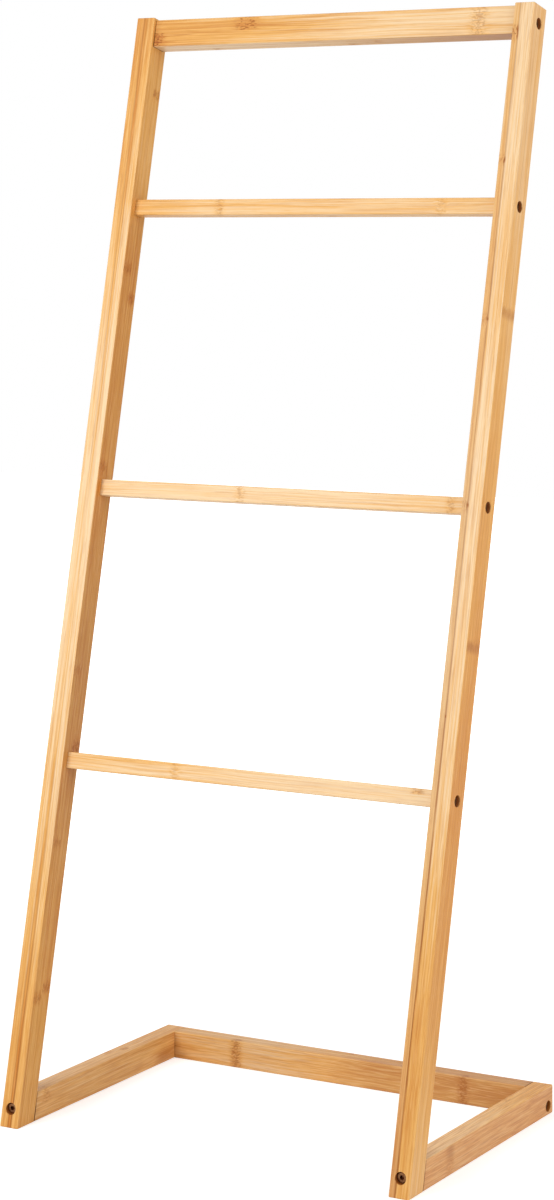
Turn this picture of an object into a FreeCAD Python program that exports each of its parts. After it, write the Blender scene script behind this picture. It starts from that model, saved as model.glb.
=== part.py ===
import FreeCAD, Part
import math
import os

# A free-standing towel ladder of bamboo bars.
# X runs along the rungs, Y from front to back, Z up. The origin is on the floor, in the middle of the base.

# Whole frame
frame_width = 430.0  # over the outer faces of the stiles
frame_height = 1045.0  # floor to the front edge of the stile tops
frame_depth = 298.0  # front edge of the feet to the back of the crossbar
lean_angle = 13.2  # degrees that the stiles lean back from upright

# Bamboo stock for stiles, top rail, floor rails and crossbar
bar_thickness = 20.0
bar_breadth = 27.0
bar_round = 1.2  # rounding of the long edges
end_round = 0.8  # rounding of the end edges that show

# Rungs
rung_height = 15.5
rung_depth = 12.0
rung_round = 1.0
upper_rung_share = 0.1765  # down from the stile's top to the rung's middle, of the stile's length
middle_rung_share = 0.434
lower_rung_share = 0.6785
housing_depth = 4.0  # how far a rung's end sits in the stile
housing_clearance = 0.1  # all round the rung in its housing

# Top rail
top_rail_inset = 1.6  # stile top to the top of the rail, along the stile

# Screws, all alike
shank_diameter = 5.0
shank_length = 45.0
point_length = 4.0
point_diameter = 1.5
head_diameter = 10.0
head_height = 5.0
head_chamfer = 0.5
key_across_flats = 4.0
key_corners = 6
key_depth = 2.8
shank_clearance = 0.15  # round the shank, on the radius
point_clearance = 1.0  # beyond the point
head_clearance = 0.5  # round the head, on the radius
counterbore_depth = 8.0  # outer face to the seat of the head

# Dowels, all alike
dowel_diameter = 6.0
dowel_length = 30.0
dowel_chamfer = 0.6
dowel_seat_depth = 10.0  # length in the piece that the screw passes through
dowel_clearance = 0.1  # round the dowel, on the radius
dowel_end_clearance = 1.0

# Where the screws and dowels of the butt joints sit, from the bar's lower edge, of its breadth
top_rail_screw_share = 0.43
top_rail_dowel_share = 0.78
foot_screw_share = 0.63
foot_dowel_share = 0.28
crossbar_screw_share = 0.315
crossbar_dowel_share = 0.67

overrun = 10.0  # how far every cutting shape runs past what it cuts

# Worked out from the sizes above
lean = math.radians(lean_angle)
stile_length = frame_height / math.cos(lean)  # along the front face
inner_width = frame_width - 2 * bar_thickness
front_y = -frame_depth / 2
rear_y = frame_depth / 2
stile_x = (frame_width - bar_thickness) / 2
stile_middle = bar_breadth / 2  # depth of the rung and rail centre lines behind the stile's front face
top_rail_bottom = stile_length - top_rail_inset - bar_breadth
rung_shares = {"upper": upper_rung_share, "middle": middle_rung_share, "lower": lower_rung_share}
sides = {"left": -1, "right": 1}
along_x = FreeCAD.Vector(1, 0, 0)
along_y = FreeCAD.Vector(0, 1, 0)
along_z = FreeCAD.Vector(0, 0, 1)
same_direction = 1e-6  # largest difference between two unit vectors that count as one direction


# A point of the leaning frame: distance up the stile's front face, and depth behind that face
def leaning_point(x, up, deep):
    y = front_y + up * math.sin(lean) + deep * math.cos(lean)
    z = up * math.cos(lean) - deep * math.sin(lean)
    return FreeCAD.Vector(x, y, z)


# Tilts a shape made upright, with its front face in the plane Y = 0, into the leaning frame
def lean_back(shape):
    tilted = shape.copy()
    tilted.rotate(FreeCAD.Vector(0, 0, 0), along_x, -lean_angle)
    tilted.translate(FreeCAD.Vector(0, front_y, 0))
    return tilted


# Box between two corners, with its four edges along one direction rounded
def rounded_bar(low, high, direction, radius):
    size = high - low
    box = Part.makeBox(size.x, size.y, size.z, low)
    long_edges = []
    for edge in box.Edges:
        if edge.tangentAt(edge.FirstParameter).cross(direction).Length < same_direction:
            long_edges.append(edge)
    return box.makeFillet(radius, long_edges)


# Rounds the edges of a bar's end, which faces along a direction
def round_end(bar, direction):
    for face in bar.Faces:
        if (face.normalAt(0, 0) - direction).Length < same_direction:
            return bar.makeFillet(end_round, face.OuterWire.Edges)


# Bar across the leaning frame, centred in the stile's depth
def leaning_bar(length, middle, height, depth, radius):
    low = FreeCAD.Vector(-length / 2, stile_middle - depth / 2, middle - height / 2)
    high = FreeCAD.Vector(length / 2, stile_middle + depth / 2, middle + height / 2)
    return lean_back(rounded_bar(low, high, along_x, radius))


def rung_middle(name):
    return stile_length * (1 - rung_shares[name])


def rung(name):
    length = inner_width + 2 * housing_depth
    return leaning_bar(length, rung_middle(name), rung_height, rung_depth, rung_round)


def rung_housing(name):
    length = inner_width + 2 * housing_depth
    grown = 2 * housing_clearance
    radius = rung_round + housing_clearance
    return leaning_bar(length, rung_middle(name), rung_height + grown, rung_depth + grown, radius)


def top_rail():
    middle = top_rail_bottom + bar_breadth / 2
    return leaning_bar(inner_width, middle, bar_breadth, bar_thickness, bar_round)


def stile(side):
    middle = sides[side] * stile_x
    low = FreeCAD.Vector(middle - bar_thickness / 2, 0, -overrun)
    high = FreeCAD.Vector(middle + bar_thickness / 2, bar_breadth, stile_length)
    upright = rounded_bar(low, high, along_z, bar_round)
    upright = round_end(upright, along_z)
    below_floor = Part.makeBox(
        frame_width + 2 * overrun,
        frame_depth + 2 * overrun,
        frame_height,
        FreeCAD.Vector(-frame_width / 2 - overrun, front_y - overrun, -frame_height),
    )
    shape = round_end(lean_back(upright).cut(below_floor), -along_z)
    for name in rung_shares:
        shape = shape.cut(rung_housing(name))
    return shape


def floor_rail(side):
    middle = sides[side] * stile_x
    low = FreeCAD.Vector(middle - bar_thickness / 2, front_y, 0)
    high = FreeCAD.Vector(middle + bar_thickness / 2, rear_y, bar_breadth)
    bar = rounded_bar(low, high, along_y, bar_round)
    bar = round_end(bar, along_y)
    before_stile_back = Part.makeBox(
        frame_width + 2 * overrun,
        bar_breadth + overrun,
        frame_height,
        FreeCAD.Vector(-frame_width / 2 - overrun, -overrun, -frame_height / 2),
    )
    return bar.cut(lean_back(before_stile_back))


def rear_crossbar():
    low = FreeCAD.Vector(-inner_width / 2, rear_y - bar_thickness, 0)
    high = FreeCAD.Vector(inner_width / 2, rear_y, bar_breadth)
    return rounded_bar(low, high, along_x, bar_round)


# Puts a shape made along Z at a seat point, pointing along a direction
def placed(shape, seat, direction):
    moved = shape.copy()
    moved.Placement = FreeCAD.Placement(seat, FreeCAD.Rotation(along_z, direction))
    return moved


# Screw with the underside of its head at Z = 0 and its point up
def screw():
    straight = shank_length - point_length
    shank = Part.makeCylinder(shank_diameter / 2, straight)
    point = Part.makeCone(shank_diameter / 2, point_diameter / 2, point_length, along_z * straight)
    top = along_z * -head_height
    head = Part.makeCylinder(head_diameter / 2, head_height, top)
    top_edge = [edge for edge in head.Edges if edge.CenterOfMass.isEqual(top, head_chamfer)]
    head = head.makeChamfer(head_chamfer, top_edge)
    step = 2 * math.pi / key_corners
    radius = key_across_flats / 2 / math.cos(step / 2)
    corners = []
    for count in range(key_corners + 1):
        turn = count * step
        corners.append(FreeCAD.Vector(radius * math.cos(turn), radius * math.sin(turn), -head_height))
    key = Part.Face(Part.makePolygon(corners)).extrude(along_z * key_depth)
    return head.fuse([shank, point]).cut(key).removeSplitter()


# Hole for a screw: counterbore for the head, then a clearance hole for the shank
def screw_hole():
    reach = counterbore_depth + overrun
    counterbore = Part.makeCylinder(head_diameter / 2 + head_clearance, reach, along_z * -reach)
    bore = Part.makeCylinder(shank_diameter / 2 + shank_clearance, shank_length + point_clearance)
    return counterbore.fuse(bore)


# Dowel standing on Z = 0
def dowel():
    peg = Part.makeCylinder(dowel_diameter / 2, dowel_length)
    ends = [edge for edge in peg.Edges if isinstance(edge.Curve, Part.Circle)]
    return peg.makeChamfer(dowel_chamfer, ends)


def dowel_hole():
    return Part.makeCylinder(dowel_diameter / 2 + dowel_clearance, dowel_length + dowel_end_clearance)


# Seat point and direction of every screw, by joint and side
def screw_sites():
    sites = {}
    for side, sign in sides.items():
        inward = along_x * -sign
        seat_x = sign * (frame_width / 2 - counterbore_depth)
        rail_up = top_rail_bottom + bar_breadth * top_rail_screw_share
        sites["top_rail", side] = (leaning_point(seat_x, rail_up, stile_middle), inward)
        for name in rung_shares:
            sites[name + "_rung", side] = (leaning_point(seat_x, rung_middle(name), stile_middle), inward)
        foot_z = bar_breadth * foot_screw_share
        foot_y = front_y + foot_z * math.tan(lean) + counterbore_depth
        sites["foot", side] = (FreeCAD.Vector(sign * stile_x, foot_y, foot_z), along_y)
        crossbar_z = bar_breadth * crossbar_screw_share
        crossbar_seat = FreeCAD.Vector(seat_x, rear_y - bar_thickness / 2, crossbar_z)
        sites["crossbar", side] = (crossbar_seat, inward)
    return sites


# Seat point and direction of every dowel, by joint and side
def dowel_sites():
    sites = {}
    for side, sign in sides.items():
        inward = along_x * -sign
        seat_x = sign * (inner_width / 2 + dowel_seat_depth)
        rail_up = top_rail_bottom + bar_breadth * top_rail_dowel_share
        sites["top_rail", side] = (leaning_point(seat_x, rail_up, stile_middle), inward)
        foot_z = bar_breadth * foot_dowel_share
        stile_back = front_y + bar_breadth / math.cos(lean) + foot_z * math.tan(lean)
        foot_seat = FreeCAD.Vector(sign * stile_x, stile_back - dowel_seat_depth, foot_z)
        sites["foot", side] = (foot_seat, along_y)
        crossbar_z = bar_breadth * crossbar_dowel_share
        crossbar_seat = FreeCAD.Vector(seat_x, rear_y - bar_thickness / 2, crossbar_z)
        sites["crossbar", side] = (crossbar_seat, inward)
    return sites


# Wooden bars before drilling
bars = {"top_rail": top_rail(), "rear_crossbar": rear_crossbar()}
for name in rung_shares:
    bars[name + "_rung"] = rung(name)
for side in sides:
    bars[side + "_stile"] = stile(side)
    bars[side + "_floor_rail"] = floor_rail(side)

holes = [placed(screw_hole(), *site) for site in screw_sites().values()]
holes += [placed(dowel_hole(), *site) for site in dowel_sites().values()]
nodes = {name: bar.cut(holes) for name, bar in bars.items()}

# The two screws of a joint share a node, each dowel has its own
for joint in dict.fromkeys(joint for joint, side in screw_sites()):
    pair = [placed(screw(), *screw_sites()[joint, side]) for side in sides]
    nodes[joint + "_screws"] = Part.makeCompound(pair)
for (joint, side), site in dowel_sites().items():
    nodes[side + "_" + joint + "_dowel"] = placed(dowel(), *site)

os.makedirs("parts", exist_ok=True)
for name, shape in nodes.items():
    shape.exportStep("parts/" + name + ".step")
    print(name, "solids", len(shape.Solids), "valid", shape.isValid(), "volume", round(shape.Volume))
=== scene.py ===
import math

import bpy
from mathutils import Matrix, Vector


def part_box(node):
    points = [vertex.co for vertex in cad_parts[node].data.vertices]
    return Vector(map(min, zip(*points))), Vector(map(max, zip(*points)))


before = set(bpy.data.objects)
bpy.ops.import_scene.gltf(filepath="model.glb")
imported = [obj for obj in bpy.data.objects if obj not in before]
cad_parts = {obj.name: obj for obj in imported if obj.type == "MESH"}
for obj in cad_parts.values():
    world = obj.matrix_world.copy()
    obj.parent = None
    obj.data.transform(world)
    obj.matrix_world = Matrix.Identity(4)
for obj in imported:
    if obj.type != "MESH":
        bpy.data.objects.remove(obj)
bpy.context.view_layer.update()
print("frame loaded:", len(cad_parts), "nodes")


# A socket in a sum: writing the sum adds its Math nodes
class Wire:
    def __init__(self, finish, socket):
        self.finish = finish
        self.socket = socket

    def math(self, operation, *others):
        return self.finish.node("Math", {"operation": operation}, dict(enumerate((self, *others))))

    def __add__(self, other):
        return self.math("ADD", other)

    __radd__ = __add__

    def __sub__(self, other):
        return self.math("SUBTRACT", other)

    def __rsub__(self, other):
        return self * -1 + other

    def __mul__(self, other):
        return self.math("MULTIPLY", other)

    __rmul__ = __mul__

    def __abs__(self):
        return self.math("ABSOLUTE")

    def __gt__(self, other):
        return self.math("GREATER_THAN", other)

    def __lt__(self, other):
        return self.math("LESS_THAN", other)

    # soft slope from 0 at start to 1 at end
    def ramp(self, start, end):
        sockets = {"Value": self, "From Min": min(start, end), "From Max": max(start, end)}
        slope = self.finish.node("MapRange", {"interpolation_type": "SMOOTHSTEP"}, sockets)
        return slope if start < end else 1 - slope

    # another output of the same node
    def beside(self, output):
        return Wire(self.finish, self.socket.node.outputs[output])


# One material, or the world, and the nodes in it
class Finish:
    def __init__(self, block):
        block.use_nodes = True
        self.block = block
        self.tree = block.node_tree
        self.tree.nodes.clear()

    # any node: its type, then its settings, then the values or wires of its sockets
    def node(self, kind, settings, sockets, output=0):
        made = self.tree.nodes.new("ShaderNode" + kind)
        for key, value in settings.items():
            if key == "stops":
                fillStops(made.color_ramp.elements, value)
            else:
                setattr(made, key, value)
        for key, value in sockets.items():
            if isinstance(value, Wire):
                self.tree.links.new(value.socket, made.inputs[key])
            else:
                made.inputs[key].default_value = value
        return Wire(self, made.outputs[output]) if made.outputs else None

    # the point itself, in metres
    def spot(self):
        return self.node("TexCoord", {}, {}, "Object")

    def noise(self, x, y, z, detail=2.0, roughness=0.5):
        place = self.node("CombineXYZ", {}, {0: x, 1: y, 2: z})
        sockets = {"Vector": place, "Scale": 1, "Detail": detail, "Roughness": roughness}
        return self.node("TexNoise", {}, sockets)

    def blend(self, share, under, over):
        return self.node("Mix", {"data_type": "RGBA"}, {0: share, 6: under, 7: over}, 2)

    def relief(self, height, strength, depth):
        return self.node("Bump", {}, {"Strength": strength, "Distance": depth, "Height": height})

    # 1 on the rays of the camera, a mirror or glass, and 0 on the others
    def seenRays(self):
        rays = self.node("LightPath", {}, {})
        return (rays + rays.beside("Is Glossy Ray") + rays.beside("Is Transmission Ray")).math("MINIMUM", 1)

    def paint(self, sockets):
        shader = self.node("BsdfPrincipled", {}, sockets)
        self.node("OutputMaterial", {}, {"Surface": shader})
        return self.block


def fillStops(elements, stops):
    while len(elements) < len(stops):
        elements.new(1)
    for element, (place, colour) in zip(elements, stops):
        element.position = place
        element.color = colour


def linear(red, green, blue):
    def one(value):
        value /= 255
        return value / 12.92 if value <= 0.04045 else ((value + 0.055) / 1.055) ** 2.4
    return (one(red), one(green), one(blue), 1)


def dress(node, material):
    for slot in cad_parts[node].material_slots:
        slot.material = material


def middleOf(node):
    low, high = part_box(node)
    return (low + high) / 2


# Sizes of the bars, in metres
leanBack = math.radians(13.2)
barThickness = 0.020
barBreadth = 0.027
rungDepth = 0.012
rungHeight = 0.0155
stileLength = 1.0734
innerHalf = 0.195  # middle to the inner faces of the stiles
outerHalf = 0.149  # middle to the front and back of the foot
arris = 0.0096  # middle of a bar to its rounded edge, across its thickness
endDepth = 0.0045  # a sawn end lies no further in than this

# Bamboo, shared by every bar
bamboo = {
    # tones from dark to light, then tints, then marks
    "honey": linear(192, 112, 30),
    "amber": linear(212, 148, 72),
    "straw": linear(226, 170, 92),
    "pale": linear(236, 205, 162),
    "blush": linear(216, 150, 104),
    "gold": linear(236, 168, 78),
    "ash": linear(208, 176, 136),
    "shade": linear(150, 112, 78),
    "vein": linear(184, 110, 42),
    "darkFleck": linear(176, 108, 66),
    "lightFleck": linear(246, 206, 150),
    "glue": linear(150, 84, 26),
    "knuckle": linear(150, 78, 24),
    # pale rubbed edges, also a painted highlight on the rounded arrises
    "edge": linear(242, 204, 142),
    "drilled": linear(166, 100, 44),
    # painted shade, darker further into a hole
    "deepHoleShade": linear(150, 80, 24),
    "endGrain": linear(150, 95, 48),
    "endDots": linear(86, 50, 24),
    # dark joint line, and the painted shade beside it
    "seamLineAndShade": linear(96, 56, 26),
    # layers of grain: pitch across it, turns to a metre along it, detail and roughness of the noise
    "streakGrain": (0.0040, 4, 3, 0.5),
    "fibreGrain": (0.0013, 9, 3, 0.6),
    "veinGrain": (0.0024, 5, 1, 0.4),
    "poreGrain": (0.0005, 60, 2, 0.5),
    "fleckGrain": (0.0011, 36, 2, 0.6),
    # other noises: turns to a metre, or turns along the bar and turns across it
    "driftTurns": 3.1,
    "wanderTurns": 6,
    "bendTurns": (60, 130),
    "swingTurns": 210,
    "dashTurns": (260, 800),
    "dotTurns": 1300,
    # how far fibres wander, bend round a knuckle, and a knuckle's line swings
    "wander": 0.006,
    "bend": 0.006,
    "swing": 0.014,
    # how much each changes the tone
    "driftTone": 0.20,
    "streakTone": 0.18,
    "fibreTone": 0.34,
    "poreTone": 0.10,
    "knuckleTone": 0.30,
    # distances at which a mark begins and is full
    "loopLine": (0.0011, 0.0002),
    "glueLine": (0.0014, 0.0003),
    "edgeLine": (0.0016, 0.0003),
    "seamLine": (0.0011, 0.0002),
    "seamShadow": (0.010, 0.0),
    "holeMouth": (0.0004, 0.0009),
    "holeShadeDepth": (0.0005, 0.0025),
    # how much of a mark's colour covers the bamboo
    "edgeCover": 0.14,
    "endCover": 0.8,
    "dotCover": 0.6,
    "holeCover": 0.94,
    "seamShadowCover": 0.16,
    # lacquer
    "coat": 0.05,
    "coatRoughness": 0.24,
    "roughness": 0.42,
    "gloss": 0.14,
    "reliefStrength": 0.22,
    "reliefDepth": 0.0004,
}


# One knuckle: its place along the bar, the strip and half it shows on, its length, how dark it is
# and how much of it is loops rather than dashes
def knuckle(at, strip, half, long=0.006, dark=0.5, loops=0.3):
    return (at, strip, half, long, dark, loops)


# Dashes and a chain of small loops across the strip, in a darker patch
def knuckleMarks(finish, bar, axes, strips, shift):
    along, stack, width = axes
    back = width > bar["split"]
    halves = {"front": 1 - back, "back": back, "both": 1}
    turns = bamboo["swingTurns"]
    swing = abs(finish.noise(width * turns, stack * turns, bar["seed"], 3) - 0.5) * bamboo["swing"]
    farOff = 9
    lengths = farOff  # to the nearest knuckle, in its own lengths
    fromLine = 1  # to its wavy line, in metres
    depth = 0
    looped = 0
    for at, strip, half, long, dark, loops in bar["knuckles"]:
        away = abs(along - at)
        here = strips[strip] * halves[half]
        fromLine = (abs(away - swing) + (1 - here)).math("MINIMUM", fromLine)
        lengths = (away * (1 / long) + (1 - here) * farOff).math("MINIMUM", lengths)
        shown = (away < long * 2) * here
        depth = (shown * dark).math("MAXIMUM", depth)
        looped = (shown * dark * loops).math("MAXIMUM", looped)
    patch = lengths.ramp(1.7, 0.1)
    slow, quick = bamboo["dashTurns"]
    dash = finish.noise(along * slow, stack * quick + shift, width * quick).ramp(0.50, 0.60)
    dashed = dash * lengths.ramp(1.1, 0.4) * depth
    ring = fromLine.ramp(*bamboo["loopLine"]) * lengths.ramp(1.2, 0.6)
    mark = (ring * looped).math("MAXIMUM", dashed)
    return patch, depth, mark


# Rubbed edges with a painted highlight, sawn ends, drilled holes with painted shade deep in them, and the
# dark line where a bar meets its neighbour with painted shade beside it
def workedMarks(finish, bar, axes, facing, curve, colour):
    along, stack, width = axes
    inFromStack = bar["size"][0] / 2 - abs(stack)
    inFromWidth = bar["size"][1] / 2 - abs(width)
    # pale rubbed edges, also a painted highlight on the rounded arrises
    edge = inFromStack.math("MAXIMUM", inFromWidth).ramp(*bamboo["edgeLine"])
    colour = finish.blend(edge * bamboo["edgeCover"], colour, bamboo["edge"])

    sawn = 0.0
    if bar["ends"]:
        firstCut, lastCut = bar["ends"]
        outward = {0: facing, 1: bar["direction"]}
        square = abs(finish.node("VectorMath", {"operation": "DOT_PRODUCT"}, outward, "Value"))
        sawn = square.ramp(0.80, 0.93) * ((along < firstCut) + (along > lastCut))
        turns = bamboo["dotTurns"]
        dots = finish.noise(stack * turns, width * turns, bar["seed"]).ramp(0.50, 0.66)
        endColour = finish.blend(dots * bamboo["dotCover"], bamboo["endGrain"], bamboo["endDots"])
        colour = finish.blend(sawn * bamboo["endCover"], colour, endColour)

    within = inFromStack.math("MINIMUM", inFromWidth)
    drilled = within.ramp(*bamboo["holeMouth"]) * (1 - sawn)
    # drilled wood at the mouth, with painted shade deepening inward
    holeWallAndShade = finish.blend(within.ramp(*bamboo["holeShadeDepth"]), bamboo["drilled"], bamboo["deepHoleShade"])
    colour = finish.blend(drilled * bamboo["holeCover"], colour, holeWallAndShade)

    if bar["seams"]:
        if bar["seams"] == "stiles":
            meet = abs(innerHalf - abs(along))
        else:
            meet = abs(along - width * math.tan(leanBack) - bar["seamStart"])
        tight = 0.35 + width.ramp(0.006, -0.004) * 0.65  # darker low down, where less light gets in
        # painted shade spreading from the joint
        shadow = meet.ramp(*bamboo["seamShadow"]) * bamboo["seamShadowCover"]
        seamLineAndShade = (meet.ramp(*bamboo["seamLine"]) * tight + shadow) * curve(bar["seamDarkAndShade"])
        colour = finish.blend(seamLineAndShade, colour, bamboo["seamLineAndShade"])
    return colour, edge, drilled


# A bar is strips glued up across its stack, with their width the other way.
# A darkness, tone, share or strength of veins is one number, or stops of (place along, value); the tone
# stops also paint light and shade along the bar.
def bambooFinish(bar):
    finish = Finish(bpy.data.materials.new(bar["node"] + "_bamboo"))
    seed = bar["seed"]
    start, end = bar["reach"]
    spot = finish.spot()
    facing = spot.beside("Normal")
    turned = {"Vector": spot, "Location": bar["centre"], "Rotation": (-bar["lean"], 0, 0)}
    inBar = finish.node("Mapping", {"vector_type": "TEXTURE"}, turned)
    parts = finish.node("SeparateXYZ", {}, {0: inBar})
    axes = [parts.beside(pick) for pick in bar["picks"]]
    along, stack, width = axes

    def curve(stops):
        if not isinstance(stops, list):
            return stops
        greys = [((place - start) / (end - start), (value, value, value, 1)) for place, value in stops]
        return finish.node("ValToRGB", {"stops": greys}, {"Fac": (along - start) * (1 / (end - start))})

    # a mask for each strip
    past = [stack > line[0] for line in bar["glueLines"]]
    strips = [1 - past[0]] + [one - other for one, other in zip(past, past[1:])] + [past[-1]]
    shift = sum(past) * 3.7 + (width > bar["split"]) * 5.3 + seed  # each half strip has its own grain
    patch, depth, mark = knuckleMarks(finish, bar, axes, strips, shift)

    # long fibres that wander a little, and bend round the knuckles
    drift = finish.noise(along * bamboo["driftTurns"], shift, seed)
    wander = (finish.noise(along * bamboo["wanderTurns"], shift, seed + 4) - 0.5) * bamboo["wander"]
    slow, quick = bamboo["bendTurns"]
    bend = (finish.noise(along * slow, stack * quick, width * quick + shift) - 0.5) * patch * bamboo["bend"]
    stackBent = stack + bend
    widthBent = width + wander + bend

    def grain(layer):
        pitch, turns, detail, roughness = bamboo[layer]
        x = along * turns
        y = stackBent * (1 / pitch) + shift
        z = widthBent * (1 / pitch)
        return finish.noise(x, y, z, detail, roughness)

    streak = grain("streakGrain").ramp(0.30, 0.70)
    fibre = grain("fibreGrain").ramp(0.28, 0.72)
    vein = abs(grain("veinGrain") - 0.5).ramp(0.065, 0.008)
    pore = grain("poreGrain").ramp(0.56, 0.70)
    fleck = grain("fleckGrain")

    # each strip's tone stops, which paint light and shade as well as the bamboo's own tone
    toneAndLight = sum(strip * curve(stops) for strip, stops in zip(strips, bar["tonesAndLight"]))
    toneAndLight = toneAndLight + (drift - 0.5) * bamboo["driftTone"]
    toneAndLight = toneAndLight + (streak - 0.5) * bamboo["streakTone"] + (fibre - 0.5) * bamboo["fibreTone"]
    toneAndLight = toneAndLight - pore * bamboo["poreTone"] - patch * depth * bamboo["knuckleTone"]
    toneStops = ((0, bamboo["honey"]), (0.35, bamboo["amber"]), (0.6, bamboo["straw"]), (1, bamboo["pale"]))
    colour = finish.node("ValToRGB", {"stops": toneStops}, {"Fac": toneAndLight})

    for name, share, picked in bar["tints"]:
        colour = finish.blend(sum(strips[pick] for pick in picked) * curve(share), colour, bamboo[name])
    colour = finish.blend(vein * streak.ramp(1.0, 0.2) * curve(bar["veins"]), colour, bamboo["vein"])
    colour = finish.blend(fleck.ramp(0.50, 0.64) * bar["flecks"], colour, bamboo["darkFleck"])
    colour = finish.blend(fleck.ramp(0.50, 0.36) * bar["flecks"], colour, bamboo["lightFleck"])
    for place, dark, ticks in bar["glueLines"]:
        if not dark:
            continue  # a change of tone with no line
        shown = curve(dark)
        for at, long in ticks:
            shown = abs(along - at).ramp(long, 0).math("MAXIMUM", shown)
        glued = abs(stackBent - place).ramp(*bamboo["glueLine"]) * shown * fibre.ramp(0.0, 0.5)
        colour = finish.blend(glued, colour, bamboo["glue"])
    for at, strip, faint, full, long, dark in bar["bands"]:
        spread = abs(along - at + bend).ramp(long, long * 0.1) * strips[strip] * width.ramp(faint, full)
        colour = finish.blend(spread * dark * (0.4 + fibre * 0.6), colour, bamboo["knuckle"])
    colour = finish.blend(mark, colour, bamboo["knuckle"])
    colour, edge, drilled = workedMarks(finish, bar, axes, facing, curve, colour)

    roughness = bamboo["roughness"] + (fibre - 0.5) * 0.10 + mark * 0.08 + drilled * 0.3 - edge * 0.04
    height = fibre * 0.4 + streak * 0.2 - vein * 0.3 - pore * 0.4 + mark * 0.5
    return finish.paint({
        "Base Color": colour,
        "Roughness": roughness,
        "Coat Weight": (1 - drilled) * bamboo["coat"],
        "Coat Roughness": bamboo["coatRoughness"],
        "Specular IOR Level": bamboo["gloss"],
        "Normal": finish.relief(height, bamboo["reliefStrength"], bamboo["reliefDepth"]),
    })


# Stiles: strips glued side by side, so the front shows their edges and the sides their broad faces
def dressStile(stile):
    low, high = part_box(stile["node"])
    stile["centre"] = (
        (low.x + high.x) / 2,
        low.y + barBreadth / 2 * math.cos(leanBack),
        -barBreadth / 2 * math.sin(leanBack),
    )
    stile["lean"] = leanBack
    stile["picks"] = "ZXY"
    stile["reach"] = (0, stileLength)
    stile["size"] = (barThickness, barBreadth)
    stile["direction"] = (0, math.sin(leanBack), math.cos(leanBack))
    stile["split"] = 0.0  # where the front half of a strip ends
    stile["ends"] = (endDepth, stileLength - endDepth)
    stile["seams"] = None
    stile["veins"] = 0.26
    stile["flecks"] = 0.16
    dress(stile["node"], bambooFinish(stile))


leftStile = {
    "node": "left_stile",
    "glueLines": [  # place across the stack, how dark, ticks of (place along, length)
        (-0.0010, [(0.0, 0.50), (0.3, 0.20), (0.5, 0.05), (1.0, 0.45)], []),
        (0.0022, [(0.0, 0.75), (0.3, 0.30), (0.5, 0.05), (1.0, 0.25)], []),
        (arris, 0, []),
    ],
    "tonesAndLight": (  # one for each strip
        # the three front strips paint shade and sheen: darker at the top and the foot, palest at mid-height
        [(0.05, 0.48), (0.30, 0.80), (0.52, 0.94), (0.72, 0.86), (0.90, 0.55), (1.00, 0.54), (1.06, 0.28)],
        [(0.05, 0.12), (0.30, 0.64), (0.55, 0.86), (0.75, 0.74), (1.06, 0.18)],
        [(0.08, 0.46), (0.36, 0.92), (0.54, 1.0), (0.74, 0.96), (0.88, 0.72), (1.06, 0.52)],
        # the inner strip paints shade: darker from low down to just below the upper rung, paler above it
        [(0.05, 0.44), (0.20, 0.30), (0.84, 0.28), (0.93, 0.72), (1.06, 0.54)],
    ),
    "tints": [  # colour, share, strips
        # painted shade down the middle of the inner strip, and painted light (gold) at its top
        ("shade", [(0.15, 0.0), (0.3, 0.20), (0.45, 0.28), (0.62, 0.0)], (3,)),
        ("gold", [(0.86, 0.0), (0.93, 0.5), (1.06, 0.3)], (3,)),
    ],
    "knuckles": [
        knuckle(0.9995, 3, "back", dark=0.6),
        knuckle(0.823, 3, "front"),
        knuckle(0.795, 3, "back"),
        knuckle(0.627, 3, "front"),
        knuckle(0.430, 3, "front", dark=0.3),
        knuckle(0.358, 3, "back", 0.008, 0.7),
        knuckle(0.266, 3, "front", dark=0.3),
        knuckle(0.132, 3, "back", dark=0.6),
        knuckle(0.121, 3, "front"),
        knuckle(0.87, 0, "back"),
        knuckle(0.55, 0, "back"),
        knuckle(0.28, 0, "back"),
    ],
    "bands": [],
    "seed": 2.0,
}
rightStile = {
    "node": "right_stile",
    "glueLines": [
        (
            -0.0036,
            [(0.03, 0.8), (0.1, 1.0), (0.4, 0.72), (0.6, 0.52), (0.8, 0.60), (0.98, 0.40)],
            [(1.045, 0.014), (0.925, 0.007), (0.777, 0.005), (0.607, 0.005), (0.418, 0.005)],
        ),
        (arris, 0, []),
    ],
    "tonesAndLight": (
        # the front strips paint sheen and shade: paler at mid-height and the top than at the foot
        [(0.05, 0.26), (0.25, 0.46), (0.50, 0.66), (0.80, 0.50), (0.97, 0.66)],
        [(0.03, 0.42), (0.10, 0.36), (0.34, 0.84), (0.57, 1.0), (0.82, 0.80), (1.06, 0.95)],
        # the outer strip paints light: paler at the foot, where light comes up off the floor, and at the
        # top, darker a third of the way up
        [(0.03, 0.80), (0.15, 0.36), (0.36, 0.12), (0.60, 0.46), (0.93, 0.88), (1.06, 0.86)],
    ),
    "tints": [
        ("ash", [(0.03, 0.25), (0.15, 0.20), (0.4, 0.52), (0.6, 0.48), (0.8, 0.22)], (0,)),
        ("gold", 0.32, (2,)),
    ],
    "knuckles": [
        knuckle(1.045, 0, "front", 0.008, 0.8, loops=0),
        knuckle(0.925, 0, "front", 0.007, 0.4, loops=0),
        knuckle(0.777, 0, "front", dark=0.3),
        knuckle(0.607, 0, "front", dark=0.3),
        knuckle(0.30, 0, "back"),
        knuckle(0.85, 0, "back"),
        knuckle(0.786, 2, "both", 0.005, 0.2, loops=0),
        knuckle(0.484, 2, "both", 0.005, 0.2, loops=0),
    ],
    # place along, strip, from and to across the width, length, how dark
    "bands": [(0.784, 2, -0.02, -0.01, 0.008, 0.5), (0.481, 2, -0.02, -0.01, 0.008, 0.55)],
    "seed": 7.5,
}
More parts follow.
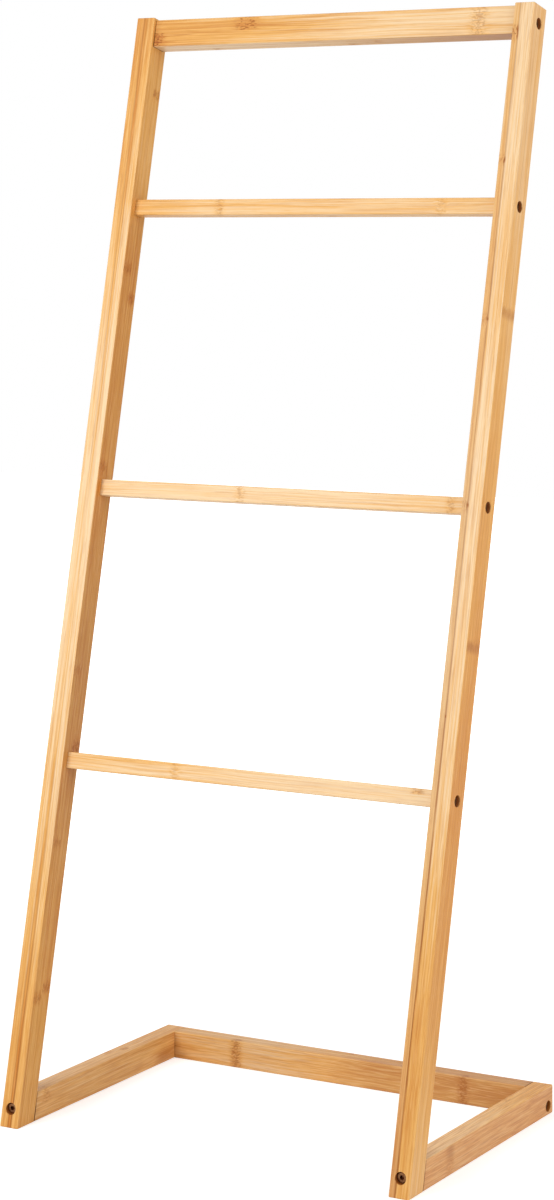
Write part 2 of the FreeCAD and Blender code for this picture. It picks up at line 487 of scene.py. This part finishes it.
for stile in (leftStile, rightStile):
    dressStile(stile)
print("stiles dressed")


# Bars across, with their broad face to the front
def dressCrosswise(bar, size, lean):
    bar["centre"] = tuple(middleOf(bar["node"]))
    bar["lean"] = lean
    bar["picks"] = "XYZ"
    bar["reach"] = (-innerHalf, innerHalf)
    bar["size"] = size
    bar["ends"] = None
    bar["seams"] = "stiles"
    dress(bar["node"], bambooFinish(bar))


# back strips: paler at the left end, darker to the right, which paints shade on the underside
railBackToneAndShade = [(-0.19, 1.0), (-0.05, 0.92), (0.19, 0.40)]
topRail = {
    "node": "top_rail",
    "glueLines": [(-arris, 0, []), (-0.0034, 0.1, []), (0.0033, 0.1, [])],
    "tonesAndLight": (
        # the front strip paints sheen: darker at the left end, paler to the right
        [(-0.19, 0.48), (-0.10, 0.58), (0.0, 0.78), (0.08, 0.88), (0.19, 0.88)],
        railBackToneAndShade,
        railBackToneAndShade,
        railBackToneAndShade,
    ),
    "tints": [
        # painted shade on the back strips and underside, deepening towards the right end
        ("shade", [(-0.02, 0.0), (0.19, 0.65)], (1, 2, 3)),
        ("vein", [(0.0, 0.0), (0.19, 0.30)], (1, 2, 3)),
    ],
    "veins": [(-0.19, 0.65), (0.0, 0.45), (0.07, 0.22)],
    "flecks": 0.10,
    "knuckles": [
        knuckle(-0.091, 0, "back", 0.014, 0.70, loops=0),
        knuckle(0.158, 0, "both", 0.010, 0.35, loops=0.8),
        knuckle(-0.192, 0, "front", 0.009, 0.95, loops=0),
        knuckle(0.02, 3, "both"),
        knuckle(-0.13, 3, "front"),
        knuckle(0.05, 2, "both"),
    ],
    "bands": [],
    "split": 0.0,  # where the front, here the lower, half of a strip ends
    # painted shade at the left joint, deeper than at the right
    "seamDarkAndShade": [(-0.15, 1.0), (0.15, 0.4)],
    "seed": 11.0,
}
dressCrosswise(topRail, (barThickness, barBreadth), leanBack)

rungs = [
    {
        "node": "upper_rung",
        "tonesAndLight": ([(-0.19, 0.56), (-0.12, 0.78), (0.19, 0.80)], 0.60),
        "knuckles": [
            knuckle(0.138, 0, "both", dark=0.25),
            knuckle(-0.10, 0, "both", dark=0.3),
            knuckle(0.02, 1, "both"),
        ],
        "seed": 21.0,
    },
    {
        "node": "middle_rung",
        "tonesAndLight": ([(-0.15, 1.0), (0.0, 0.95), (0.19, 0.80)], 0.65),
        "knuckles": [
            knuckle(0.181, 0, "both", 0.005, 0.35),
            knuckle(-0.04, 0, "both", dark=0.3),
            knuckle(0.11, 1, "both"),
        ],
        "seed": 25.0,
    },
    {
        "node": "lower_rung",
        "tonesAndLight": ([(-0.18, 0.72), (-0.10, 0.82), (0.05, 0.98), (0.13, 1.05), (0.18, 0.98)], 0.65),
        "knuckles": [
            knuckle(-0.075, 0, "both", dark=0.25),
            knuckle(0.178, 0, "back", 0.008, 0.4, loops=0),
            knuckle(-0.15, 1, "both"),
        ],
        "seed": 29.0,
    },
]
for rung in rungs:
    rung["glueLines"] = [(0.0, 0.2, [])]
    rung["tints"] = []
    rung["veins"] = 0.24
    rung["flecks"] = 0.10
    rung["bands"] = []
    rung["split"] = 0.0022
    rung["seamDarkAndShade"] = 0.12
    dressCrosswise(rung, (rungDepth, rungHeight), leanBack)

# darker towards the right end
crossbarTone = [(-0.19, 0.62), (-0.10, 0.78), (-0.05, 0.70), (0.03, 0.44), (0.15, 0.40)]
rearCrossbar = {
    "node": "rear_crossbar",
    "glueLines": [(-0.0034, 0.2, []), (0.0034, 0.2, [])],
    "tonesAndLight": (crossbarTone, crossbarTone, crossbarTone),
    "tints": [
        ("blush", 0.20, (0, 1, 2)),
        ("shade", [(-0.03, 0.0), (0.03, 0.22), (0.15, 0.30)], (0, 1, 2)),
    ],
    "veins": 0.25,
    "flecks": 0.26,
    "knuckles": [
        knuckle(-0.123, 0, "both", 0.007, 0.6, loops=0.6),
        knuckle(0.130, 0, "both", 0.007, 0.5, loops=0.6),
        knuckle(0.0, 2, "both"),
        knuckle(-0.17, 2, "front"),
        knuckle(0.07, 1, "both"),
    ],
    "bands": [(-0.123, 0, -0.02, -0.01, 0.008, 0.25), (0.130, 0, -0.02, -0.01, 0.008, 0.2)],
    "split": 0.0,
    "seamDarkAndShade": 0.65,
    "seed": 33.0,
}
dressCrosswise(rearCrossbar, (barThickness, barBreadth), 0.0)
print("crosswise bars dressed")


# Floor rails, cut to the slope of the stiles at the front
def dressFloorRail(rail):
    middle = middleOf(rail["node"])
    low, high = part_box(rail["node"])
    rail["centre"] = (middle.x, 0, middle.z)
    rail["lean"] = 0.0
    rail["picks"] = "YXZ"
    rail["reach"] = (-outerHalf, outerHalf)
    rail["size"] = (barThickness, barBreadth)
    rail["direction"] = (0, 1, 0)
    rail["split"] = 0.0
    rail["ends"] = (-1.0, high.y - endDepth)  # only the back end shows
    rail["seams"] = "stileBack"
    rail["seamStart"] = low.y + barBreadth / 2 * math.tan(leanBack)
    rail["veins"] = 0.32
    dress(rail["node"], bambooFinish(rail))


leftFloorRail = {
    "node": "left_floor_rail",
    "glueLines": [(-0.0033, 0.2, []), (0.0034, 0.2, [])],
    "tonesAndLight": (
        [(-0.12, 0.84), (0.12, 0.66)],
        [(-0.12, 0.86), (0.12, 0.66)],
        [(0.05, 0.60), (0.12, 0.46)],
    ),
    "tints": [("blush", 0.20, (0, 1, 2))],
    "flecks": 0.26,
    "knuckles": [
        knuckle(-0.100, 2, "back", 0.006, 0.3),
        knuckle(0.03, 0, "both"),
        knuckle(0.05, 1, "both"),
    ],
    "bands": [(0.110, 2, 0.002, -0.005, 0.024, 0.6)],
    "seamDarkAndShade": 0.75,
    "seed": 41.0,
}
rightFloorRail = {
    "node": "right_floor_rail",
    "glueLines": [(-0.0033, 0.2, []), (0.0034, 0.2, []), (arris, 0, [])],
    "tonesAndLight": (
        [(-0.12, 0.92), (0.0, 0.86), (0.13, 0.40)],
        [(-0.12, 1.0), (0.0, 0.92), (0.13, 0.44)],
        [(-0.12, 1.0), (0.0, 0.92), (0.13, 0.44)],
        [(-0.12, 0.54), (0.0, 0.58), (0.13, 0.48)],
    ),
    "tints": [("blush", 0.52, (3,)), ("gold", 0.36, (0, 1, 2))],
    "flecks": 0.34,
    "knuckles": [
        knuckle(-0.069, 3, "front", 0.006, 0.2, loops=0),
        knuckle(0.08, 0, "both", dark=0.3),
        knuckle(0.06, 1, "both", dark=0.2),
    ],
    "bands": [(-0.068, 3, -0.010, 0.008, 0.012, 0.5)],
    "seamDarkAndShade": 0.40,
    "seed": 47.0,
}
for rail in (leftFloorRail, rightFloorRail):
    dressFloorRail(rail)
print("floor rails dressed")

# Screws: dark brown metal that paints the shade in the holes and the wood the heads reflect, with painted
# glints round the key socket
screws = {
    "joints": ("top_rail", "upper_rung", "middle_rung", "lower_rung", "foot", "crossbar"),
    # dark brown that paints the holes' shade and the brown wood the heads reflect
    "dark": linear(96, 46, 16),
    "paintedGlint": linear(255, 216, 156),
    "glintShare": 0.16,
    "glintCover": 0.85,
    "glintDull": 0.55,
    "headRadius": 0.005,
    "rimInside": (0.0018, 0.0026),  # radii at which the painted glint ring begins and is full
    "rimOutside": (0.0045, 0.0036),
    "grainPitch": 0.0016,
    "metallic": 0.85,
    "roughness": 0.38,
}


def dressScrews(joint):
    node = joint + "_screws"
    finish = Finish(bpy.data.materials.new(joint + "_screw_bronze"))
    spot = finish.spot()
    parts = finish.node("SeparateXYZ", {}, {0: spot})
    low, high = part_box(node)
    if joint == "foot":  # these two point backwards, the others across
        aside = abs(parts) - (high.x - screws["headRadius"])
    else:
        aside = parts.beside("Y") - (low.y + high.y) / 2
    above = parts.beside("Z") - (low.z + high.z) / 2
    fromAxis = finish.node("CombineXYZ", {}, {0: aside, 1: above})
    radius = finish.node("VectorMath", {"operation": "LENGTH"}, {0: fromAxis}, "Value")
    rim = radius.ramp(*screws["rimInside"]) * radius.ramp(*screws["rimOutside"])
    speckle = finish.node("TexNoise", {}, {"Vector": spot, "Scale": 1 / screws["grainPitch"], "Detail": 3})
    # painted glints: a ring round the socket and scattered specks
    glintMask = (rim * (0.5 + speckle.ramp(0.40, 0.54) * 0.5)).math("MAXIMUM", speckle.ramp(0.56, 0.64))
    paintedGlint = glintMask * screws["glintShare"]
    material = finish.paint({
        "Base Color": finish.blend(paintedGlint * screws["glintCover"], screws["dark"], screws["paintedGlint"]),
        "Metallic": screws["metallic"] - paintedGlint * screws["glintDull"],
        "Roughness": screws["roughness"] + (speckle - 0.5) * 0.2,
        "Normal": finish.relief(speckle, 0.15, 0.0002),
    })
    dress(node, material)


for joint in screws["joints"]:
    dressScrews(joint)

# Dowels: plain beech pegs inside the joints
dowels = {
    "joints": ("top_rail", "foot", "crossbar"),
    "wood": linear(214, 178, 132),
    "fleck": linear(168, 122, 80),
    "turnsAlong": 80,
    "turnsAcross": 1500,
    "roughness": 0.62,
}


def dowelFinish(name, stretch):
    finish = Finish(bpy.data.materials.new(name))
    grain = finish.node("Mapping", {}, {"Vector": finish.spot(), "Scale": stretch})
    fleck = finish.node("TexNoise", {}, {"Vector": grain, "Scale": 1, "Detail": 3})
    return finish.paint({
        "Base Color": finish.blend(fleck.ramp(0.48, 0.70), dowels["wood"], dowels["fleck"]),
        "Roughness": dowels["roughness"] + fleck * 0.15,
        "Normal": finish.relief(fleck, 0.2, 0.0003),
    })


coarse = dowels["turnsAlong"]
fine = dowels["turnsAcross"]
acrossPeg = dowelFinish("dowel_beech_across", (coarse, fine, fine))
deepPeg = dowelFinish("dowel_beech_deep", (fine, coarse, fine))
for side in ("left", "right"):
    for joint in dowels["joints"]:
        dress(side + "_" + joint + "_dowel", deepPeg if joint == "foot" else acrossPeg)
print("screws and dowels dressed")

# Camera at the photograph's place
viewpoint = {
    "place": (1.3696, -2.3889, 0.8362),
    "yaw": 0.5210,
    "pitch": -0.0600,
    "lens": 89.09,
    "shiftDown": 0.1593,
}
camera = bpy.data.objects.new("viewpoint", bpy.data.cameras.new("viewpoint"))
bpy.context.scene.collection.objects.link(camera)
camera.location = viewpoint["place"]
camera.rotation_euler = (math.pi / 2 + viewpoint["pitch"], 0, viewpoint["yaw"])
camera.data.lens = viewpoint["lens"]
camera.data.shift_y = -viewpoint["shiftDown"]
bpy.context.scene.camera = camera

# Pale floor: white to the camera, with the object's light shadow kept near it
floorLook = {
    "halfSize": 6.0,
    "colour": (0.78, 0.78, 0.78, 1),
    "lift": 0.50,
    "shadowFade": (0.5, 1.6),
}


def floorFinish():
    finish = Finish(bpy.data.materials.new("pale_floor"))
    distance = finish.node("VectorMath", {"operation": "LENGTH"}, {0: finish.spot()}, "Value")
    far = distance.ramp(*floorLook["shadowFade"])
    lift = finish.seenRays() * (floorLook["lift"] + far * (1 - floorLook["lift"]))
    return finish.paint({
        "Base Color": floorLook["colour"],
        "Roughness": 1,
        "Specular IOR Level": 0,
        "Emission Color": finish.blend(lift, (0, 0, 0, 1), (1, 1, 1, 1)),
        "Emission Strength": 1,
    })


reach = floorLook["halfSize"]
corners = [(-reach, -reach, 0), (reach, -reach, 0), (reach, reach, 0), (-reach, reach, 0)]
floorMesh = bpy.data.meshes.new("floor")
floorMesh.from_pydata(corners, [], [(0, 1, 2, 3)])
floor = bpy.data.objects.new("floor", floorMesh)
bpy.context.scene.collection.objects.link(floor)
floorMesh.materials.append(floorFinish())

# Soft room light, dimmer from behind and brighter from above,
# and white where the camera or a reflection sees it
roomLight = {"front": 0.47, "back": 0.27, "above": 0.34, "frontToBack": (-0.5, 0.9), "upward": (0.3, 1.0)}
room = Finish(bpy.data.worlds.new("room"))
bpy.context.scene.world = room.block
toward = room.node("SeparateXYZ", {}, {0: room.node("TexCoord", {}, {}, "Generated")}, "Y")
behind = toward.ramp(*roomLight["frontToBack"])
level = roomLight["front"] + behind * (roomLight["back"] - roomLight["front"])
level = level + toward.beside("Z").ramp(*roomLight["upward"]) * roomLight["above"]
strength = level + room.seenRays() * (1 - level)
background = room.node("Background", {}, {"Color": (1, 1, 1, 1), "Strength": strength})
room.node("OutputWorld", {}, {"Surface": background})

# Lamps: a round soft box in front on the left, and a broad weak one on the right
lamps = [
    {
        "name": "round_soft_box",
        "place": (-0.90, -2.0, 1.42),
        "aim": (0, 0, 0.62),
        "across": 1.4,
        "watts": 31.5,
    },
    {
        "name": "side_fill",
        "place": (2.6, -0.4, 1.2),
        "aim": (0, 0, 0.5),
        "across": 1.6,
        "watts": 28,
    },
]
for lamp in lamps:
    light = bpy.data.lights.new(lamp["name"], "AREA")
    light.shape = "DISK"
    light.size = lamp["across"]
    light.energy = lamp["watts"]
    stand = bpy.data.objects.new(lamp["name"], light)
    bpy.context.scene.collection.objects.link(stand)
    stand.location = lamp["place"]
    stand.rotation_euler = (Vector(lamp["aim"]) - stand.location).to_track_quat("-Z", "Y").to_euler()

bpy.context.scene.view_settings.view_transform = "Standard"
print("camera, floor and light set")
